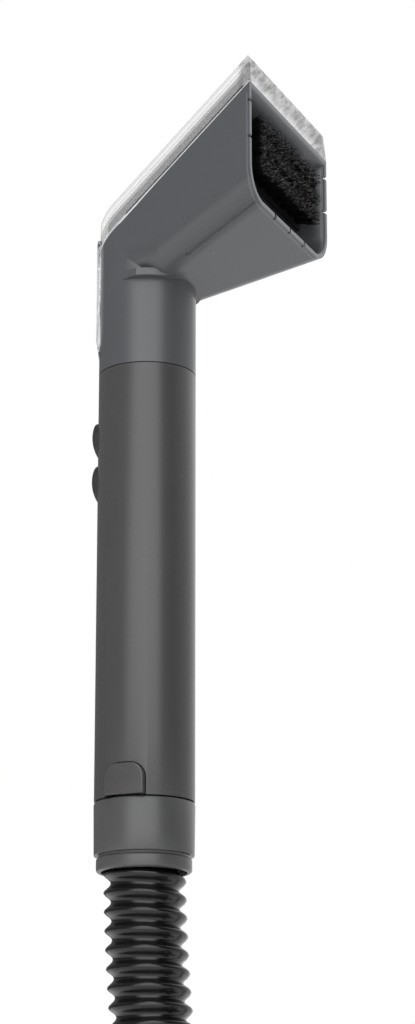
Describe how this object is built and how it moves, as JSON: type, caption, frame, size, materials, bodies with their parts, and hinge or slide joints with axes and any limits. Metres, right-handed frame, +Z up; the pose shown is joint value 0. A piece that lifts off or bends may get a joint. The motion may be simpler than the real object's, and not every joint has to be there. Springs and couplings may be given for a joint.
{
  "type": "carpet cleaner hand tool with hose",
  "caption": "Hand tool of a carpet and spot cleaner: tubular handle with thumb buttons, slanted suction head with clear cover and brush, and a ribbed hose.",
  "frame": {"origin": "middle of the handle's grip, on the handle's axis", "axes": "+Z up along the handle to the head, +X towards the mouth of the head, thumb buttons towards -X, +Y to the tool's left"},
  "size_m": [0.4373, 0.3896, 0.5709],
  "materials": {
    "handle_grey": "fine satin texture, dark neutral grey",
    "head_grey": "fine satin texture, dark cool grey",
    "cuff_grey": "satin, dark grey",
    "button_dark": "satin, near black",
    "clear_plastic": "clear, polished",
    "hose_black": "ribbed, semi-gloss black",
    "black_rubber": "moulded, matt black",
    "bristle_black": "nylon strands, black",
    "brush_grey": "satin, dark grey",
    "duct_grey": "as moulded, mid grey",
    "valve_white": "as moulded, off-white",
    "line_clear": "milky flexible tube",
    "spring_steel": "bright drawn wire and strip",
    "strap_black": "woven strap, black"
  },
  "bodies": {
    "handle": {"handle_tube": "handle_grey", "upper_button_spring": "spring_steel", "lower_button_spring": "spring_steel", "valve_block": "valve_white", "valve_screws": "spring_steel", "suction_duct": "duct_grey", "solution_feed_tube": "line_clear", "rinse_feed_tube": "line_clear", "spray_riser_tube": "line_clear", "line_manifold": "valve_white", "right_tab_spring": "spring_steel", "left_tab_spring": "spring_steel", "hose_cuff": "cuff_grey", "cuff_o_ring": "black_rubber", "hose_collar": "cuff_grey", "hose_drop": "hose_black", "hose_coil": "hose_black", "solution_line": "line_clear", "coil_tie": "strap_black", "machine_plug": "button_dark", "plug_seal": "black_rubber"},
    "upper_button": {"upper_button": "button_dark", "upper_valve_plunger": "valve_white"},
    "lower_button": {"lower_button": "button_dark", "lower_valve_plunger": "valve_white"},
    "right_tab": {"right_release_tab": "handle_grey"},
    "left_tab": {"left_release_tab": "handle_grey"},
    "head": {"nozzle_body": "head_grey", "neck_o_ring": "black_rubber", "head_duct": "duct_grey", "clear_cover": "clear_plastic", "cover_seal": "line_clear", "brush_plate": "brush_grey", "bristles": "bristle_black", "spray_nozzle": "valve_white", "spray_line": "line_clear"}
  },
  "joints": [
    {"name": "upper_button_press", "type": "slide", "parent": "handle", "child": "upper_button", "axis": [1, 0, 0], "range_m": [0, 0.002], "stiffness_N_per_m": 900, "springref_m": -0.001, "deforming": ["upper_button_spring"]},
    {"name": "lower_button_press", "type": "slide", "parent": "handle", "child": "lower_button", "axis": [1, 0, 0], "range_m": [0, 0.002], "stiffness_N_per_m": 900, "springref_m": -0.001, "deforming": ["lower_button_spring"]},
    {"name": "right_tab_press", "type": "slide", "parent": "handle", "child": "right_tab", "axis": [0, 1, 0], "range_m": [0, 0.0012], "stiffness_N_per_m": 2500, "springref_m": -0.0005, "deforming": ["right_tab_spring"]},
    {"name": "left_tab_press", "type": "slide", "parent": "handle", "child": "left_tab", "axis": [0, -1, 0], "range_m": [0, 0.0012], "stiffness_N_per_m": 2500, "springref_m": -0.0005, "deforming": ["left_tab_spring"]},
    {"name": "head_pull_off", "type": "slide", "parent": "handle", "child": "head", "axis": [0, 0, 1], "range_m": [0, 0.03]}
  ]
}
